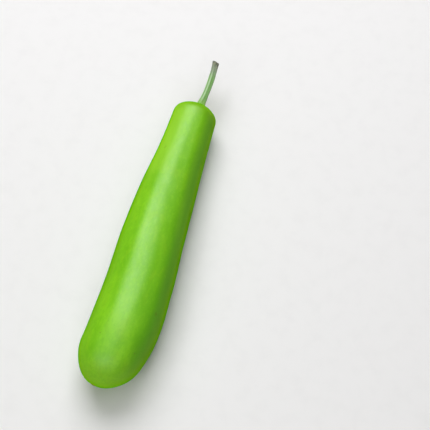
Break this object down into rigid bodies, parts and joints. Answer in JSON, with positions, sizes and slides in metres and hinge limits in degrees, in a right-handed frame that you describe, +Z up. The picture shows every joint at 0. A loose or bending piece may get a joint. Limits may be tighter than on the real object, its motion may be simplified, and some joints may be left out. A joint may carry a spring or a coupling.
{
  "type": "bottle gourd",
  "caption": "Long bottle gourd lying on its side: a smooth fruit, thick at the blossom end and narrower at the neck, with a cut ribbed stalk.",
  "frame": {"origin": "on the surface that the gourd lies on, under the middle of its box", "axes": "+Z up, +Y along the gourd from the blossom end to the stalk's cut end, +X to the right seen from the blossom end"},
  "size_m": [0.0772, 0.4038, 0.076],
  "materials": {
    "skin": "satin",
    "stalk": "matte"
  },
  "bodies": {
    "root": {"fruit": "skin", "stem": "stalk"}
  },
  "joints": []
}
